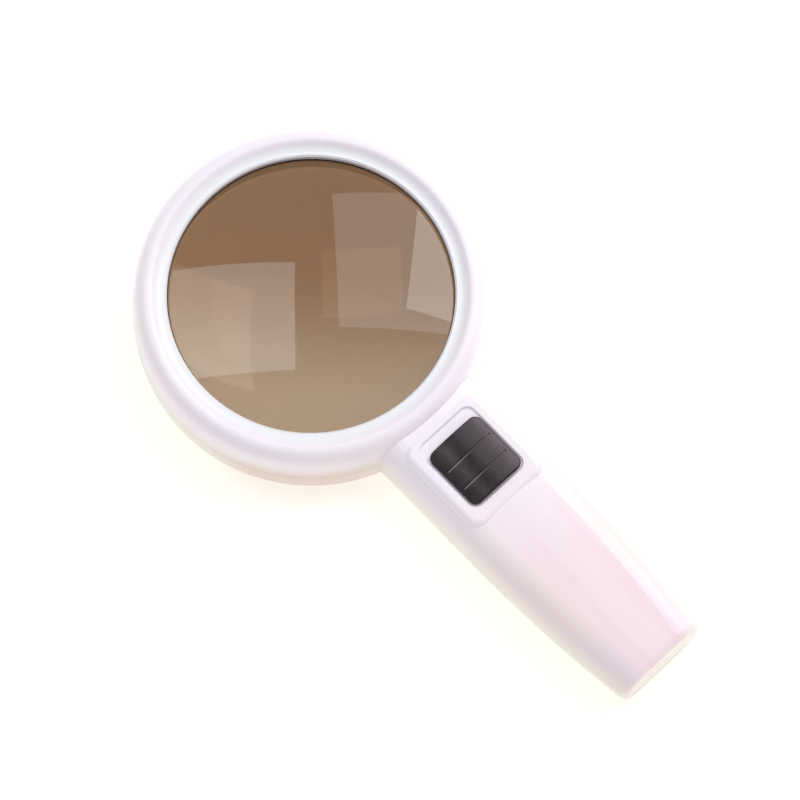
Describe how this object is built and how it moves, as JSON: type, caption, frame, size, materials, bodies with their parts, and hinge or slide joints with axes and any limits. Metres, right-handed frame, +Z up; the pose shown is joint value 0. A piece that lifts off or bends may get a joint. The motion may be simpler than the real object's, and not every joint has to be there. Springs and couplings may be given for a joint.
{
  "type": "hand-held lighted low vision magnifier",
  "caption": "Round hand-held low vision magnifier in pearly white plastic, with a ring light behind the lens and a slide switch on its flat handle.",
  "frame": {"origin": "middle of the footprint, on the surface it lies on", "axes": "+X along the handle away from the lens, +Y across the handle, +Z up out of the front face, parallel to the lens axis"},
  "size_m": [0.1906, 0.1, 0.0241],
  "materials": {
    "shell": "pearly glossy white with a faint pink tint",
    "lens": "polished acrylic with a light warm tint",
    "window": "clear acrylic, faintly frosted",
    "knob": "dark brown-black, satin gloss",
    "screw": "zinc-plated",
    "plated_steel": "nickel-plated",
    "brass": "tinned",
    "white_board": "white solder mask",
    "green_board": "green solder mask",
    "led": "white package",
    "phosphor": "yellow phosphor under clear resin",
    "dark_part": "black",
    "inner_plastic": "unpolished white",
    "cell": "printed sleeve over a steel can",
    "wire_red": "insulation",
    "wire_white": "insulation",
    "wire_black": "insulation"
  },
  "bodies": {
    "housing": {"front_shell": "shell", "rear_shell": "shell", "housing_screws": "screw", "lens": "lens", "light_window": "window", "led_board": "white_board", "leds": "led", "led_phosphors": "phosphor", "led_resistors": "dark_part", "led_board_screws": "screw", "switch_board": "green_board", "switch_board_screws": "screw", "switch_case": "plated_steel", "switch_base": "dark_part", "switch_terminals": "brass", "battery_tray": "inner_plastic", "cell_left": "cell", "cell_middle": "cell", "cell_right": "cell", "lens_end_contacts": "plated_steel", "tail_end_contacts": "plated_steel", "contact_springs": "plated_steel", "wire_red": "wire_red", "wire_white": "wire_white", "wire_black": "wire_black"},
    "switch_slider": {"switch_knob": "knob", "knob_retainer": "inner_plastic", "switch_lever": "dark_part"},
    "battery_door": {"battery_cover": "shell"}
  },
  "joints": [
    {"name": "switch_slide", "type": "slide", "parent": "housing", "child": "switch_slider", "axis": [-1, 0, 0], "range_m": [0, 0.0032]},
    {"name": "battery_cover_slide", "type": "slide", "parent": "housing", "child": "battery_door", "axis": [1, 0, 0], "range_m": [0, 0.008]}
  ]
}
